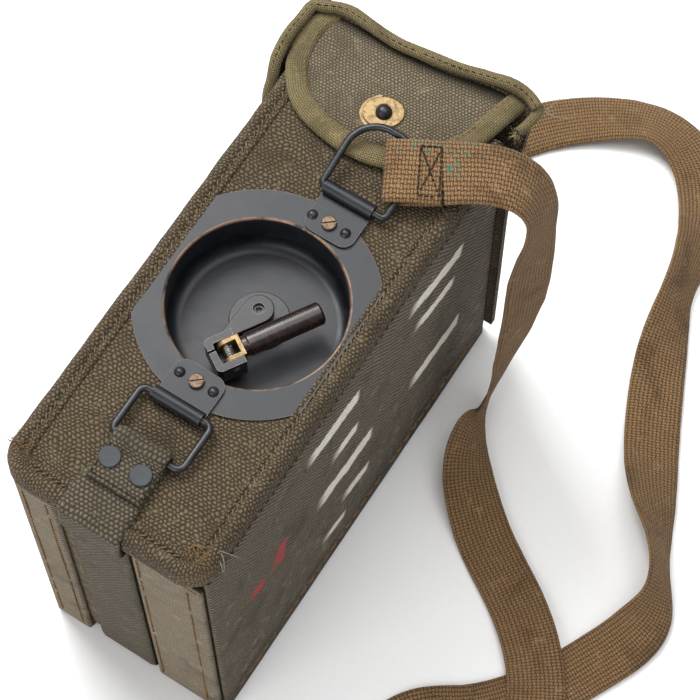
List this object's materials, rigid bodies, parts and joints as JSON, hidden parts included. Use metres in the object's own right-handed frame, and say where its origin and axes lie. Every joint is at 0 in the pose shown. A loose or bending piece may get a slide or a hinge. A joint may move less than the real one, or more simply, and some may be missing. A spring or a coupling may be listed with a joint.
{
  "type": "field telephone",
  "caption": "Hand-cranked field telephone in a canvas-covered carrying case with a recessed folding crank, a snap-fastened end cover and a webbing shoulder strap.",
  "frame": {"origin": "middle of the resting face, the narrow back face of the case, on the centre line of its width, 117.5 mm from the bottom edge of the crank panel", "axes": "+Z out of the crank face, +Y towards the cover end, +X out of the broad side next to the strap"},
  "size_m": [0.2361, 0.3605, 0.2008],
  "materials": {
    "binding_tape": "ribbed olive tape",
    "black_plastic": "black moulded plastic",
    "blue_grey_rivet": "flat blue grey paint",
    "brass": "worn brass",
    "bright_steel": "plain steel",
    "canvas_face": "coarse pebbled canvas, olive brown",
    "canvas_side": "fine dark olive canvas, worn",
    "chassis_steel": "plated sheet steel",
    "copper_screw": "coppery screw heads",
    "copper_wire": "enamelled copper winding",
    "dark_steel": "blackened steel",
    "fibreboard": "pressed board",
    "grip_plastic": "dark brown moulded plastic",
    "magnet": "cast magnet steel",
    "painted_steel": "blue black enamel, worn at the rims",
    "ribbed_canvas": "ribbed khaki canvas",
    "webbing": "tan cotton webbing",
    "zinc_can": "zinc cans"
  },
  "bodies": {
    "case": {"case_shell": "fibreboard", "crank_side_panel": "canvas_face", "panel_border": "canvas_face", "side_covers": "canvas_side", "bottom_end_pads": "ribbed_canvas", "underside_pads": "ribbed_canvas", "hinge_lip": "ribbed_canvas", "support_web": "ribbed_canvas", "web_rivets": "blue_grey_rivet", "crank_cup": "painted_steel", "upper_ring_keeper": "painted_steel", "lower_ring_keeper": "painted_steel", "keeper_rivets": "dark_steel", "keeper_screws": "copper_screw", "lower_ring": "dark_steel", "rear_ring_keeper": "painted_steel", "fastener_stud": "dark_steel", "strap_drop_run": "webbing", "strap_floor_run": "webbing", "generator_frame": "chassis_steel", "generator_magnets": "magnet", "chassis_deck": "chassis_steel", "battery_tray": "chassis_steel", "battery_cells": "zinc_can", "battery_contacts": "brass", "ringer_frame": "chassis_steel", "ringer_gongs": "brass", "ringer_coils": "copper_wire", "induction_coil": "copper_wire", "capacitor": "zinc_can", "terminal_panel": "black_plastic", "binding_posts": "brass", "handset_body": "black_plastic", "earpiece_cap": "black_plastic", "mouthpiece_cap": "black_plastic"},
    "crank": {"crank_shaft": "bright_steel", "crank_arm": "dark_steel", "hub_washer": "dark_steel", "hub_screw": "bright_steel", "drive_gear": "brass", "handle_pin": "bright_steel"},
    "handle": {"handle_fork": "brass", "handle_spring": "bright_steel"},
    "grip": {"handle_grip": "grip_plastic"},
    "armature": {"armature": "bright_steel"},
    "upper_ring": {"upper_ring": "dark_steel", "strap_end_loop": "webbing"},
    "rear_ring": {"rear_ring": "dark_steel", "rear_strap_loop": "webbing"},
    "cover": {"cover_hood": "canvas_face", "cover_binding": "binding_tape", "closing_tongue": "canvas_face", "tongue_binding": "binding_tape", "fastener_plate": "brass", "fastener_head": "dark_steel"},
    "clapper": {"ringer_clapper": "bright_steel"},
    "post_cap_1": {"post_cap_1": "black_plastic"},
    "post_cap_2": {"post_cap_2": "black_plastic"},
    "switch": {"selector_switch": "black_plastic"},
    "talk_bar": {"talk_bar": "black_plastic"}
  },
  "joints": [
    {"name": "crank_spin", "type": "hinge", "parent": "case", "child": "crank", "pos_m": [0.0004, -0.0091, 0.16], "axis": [0, 0, 1], "continuous": true},
    {"name": "armature_spin", "type": "hinge", "parent": "case", "child": "armature", "pos_m": [0.0004, -0.0361, 0.12], "axis": [0, 0, 1], "continuous": true},
    {"name": "handle_fold", "type": "hinge", "parent": "crank", "child": "handle", "pos_m": [0.00155, -0.03134, 0.179], "axis": [0.8499, -0.527, 0], "range_deg": [0, 90]},
    {"name": "grip_spin", "type": "hinge", "parent": "handle", "child": "grip", "pos_m": [0.01736, -0.00585, 0.179], "axis": [0.527, 0.8499, 0], "continuous": true},
    {"name": "upper_ring_swing", "type": "hinge", "parent": "case", "child": "upper_ring", "pos_m": [0.0095, 0.0443, 0.1894], "axis": [1, 0, 0], "range_deg": [0, 115]},
    {"name": "rear_ring_swing", "type": "hinge", "parent": "case", "child": "rear_ring", "pos_m": [-0.002, 0.1051, 0.0033], "axis": [-1, 0, 0], "range_deg": [-70, 0]},
    {"name": "cover_open", "type": "hinge", "parent": "case", "child": "cover", "pos_m": [0, 0.1008, 0.012], "axis": [-1, 0, 0], "range_deg": [0, 80]},
    {"name": "clapper_rock", "type": "hinge", "parent": "case", "child": "clapper", "pos_m": [-0.013, 0.004, 0.051], "axis": [1, 0, 0], "range_deg": [-7, 7]},
    {"name": "post_cap_1_press", "type": "slide", "parent": "case", "child": "post_cap_1", "axis": [0, -1, 0], "range_m": [0, 0.002], "stiffness_N_per_m": 400},
    {"name": "post_cap_2_press", "type": "slide", "parent": "case", "child": "post_cap_2", "axis": [0, -1, 0], "range_m": [0, 0.002], "stiffness_N_per_m": 400},
    {"name": "switch_turn", "type": "hinge", "parent": "case", "child": "switch", "pos_m": [0.028, 0.042, 0.098], "axis": [0, 1, 0], "range_deg": [0, 90]},
    {"name": "talk_bar_press", "type": "slide", "parent": "case", "child": "talk_bar", "axis": [0, 1, 0], "range_m": [0, 0.002], "stiffness_N_per_m": 500}
  ],
  "couplings": [
    {"joint": "armature_spin", "follows": "crank_spin", "ratio": -4.4}
  ]
}
